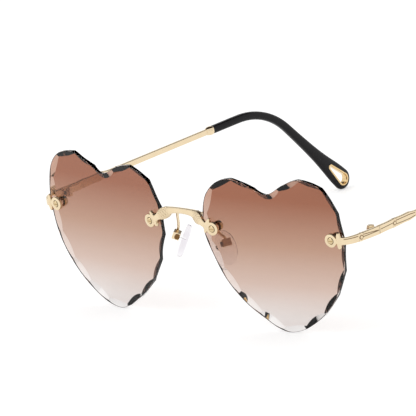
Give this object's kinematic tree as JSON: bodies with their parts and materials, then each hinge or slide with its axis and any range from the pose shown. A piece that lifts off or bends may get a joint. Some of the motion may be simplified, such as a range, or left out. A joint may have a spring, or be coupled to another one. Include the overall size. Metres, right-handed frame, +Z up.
{
  "type": "rimless sunglasses",
  "caption": "Rimless heart-shaped sunglasses with facet-cut graded lenses, arched metal bridge, clear nose pads and folding metal temples with black sleeves.",
  "frame": {"origin": "middle of the bounding box in X and Y, at the level the sunglasses rest on", "axes": "+X to the wearer's left, +Y from the lenses back to the temple tips, +Z up"},
  "size_m": [0.1406, 0.1554, 0.0536],
  "materials": {
    "graded_tint_lens": "polished, tea brown tint that fades to clear at the bottom",
    "polished_gold": "polished pale gold plating",
    "screw_metal": "polished, a little darker gold",
    "clear_plastic": "clear, soft sheen",
    "black_sleeve": "black, satin gloss"
  },
  "bodies": {
    "front": {"lens_left": "graded_tint_lens", "lens_right": "graded_tint_lens", "bridge": "polished_gold", "endpiece_left": "polished_gold", "endpiece_right": "polished_gold", "mount_screws": "screw_metal", "mount_bushings": "clear_plastic", "front_washers": "clear_plastic", "rear_washers": "clear_plastic", "mount_nuts": "screw_metal", "pad_arm_left": "polished_gold", "pad_arm_right": "polished_gold", "pad_box_left": "polished_gold", "pad_box_right": "polished_gold", "pad_screws": "screw_metal", "front_hinge_left": "polished_gold", "front_hinge_right": "polished_gold", "hinge_screws": "screw_metal"},
    "temple_left": {"temple_hinge_left": "polished_gold", "temple_left": "polished_gold", "ferrule_left": "polished_gold", "tip_left": "black_sleeve", "tip_ring_left": "polished_gold"},
    "temple_right": {"temple_hinge_right": "polished_gold", "temple_right": "polished_gold", "ferrule_right": "polished_gold", "tip_right": "black_sleeve", "tip_ring_right": "polished_gold"},
    "pad_left": {"pad_insert_left": "clear_plastic", "nose_pad_left": "clear_plastic"},
    "pad_right": {"pad_insert_right": "clear_plastic", "nose_pad_right": "clear_plastic"}
  },
  "joints": [
    {"name": "temple_left_fold", "type": "hinge", "parent": "front", "child": "temple_left", "pos_m": [0.06741, -0.0584, 0.03446], "axis": [0, 0, 1], "range_deg": [0, 88]},
    {"name": "temple_right_fold", "type": "hinge", "parent": "front", "child": "temple_right", "pos_m": [-0.06741, -0.0584, 0.03446], "axis": [0, 0, -1], "range_deg": [0, 82]},
    {"name": "pad_left_rock", "type": "hinge", "parent": "front", "child": "pad_left", "pos_m": [0.0113, -0.0673, 0.02706], "axis": [0.5321, 0.8398, 0.1077], "range_deg": [-8, 8]},
    {"name": "pad_right_rock", "type": "hinge", "parent": "front", "child": "pad_right", "pos_m": [-0.0113, -0.0673, 0.02706], "axis": [-0.5321, 0.8398, 0.1077], "range_deg": [-8, 8]}
  ]
}
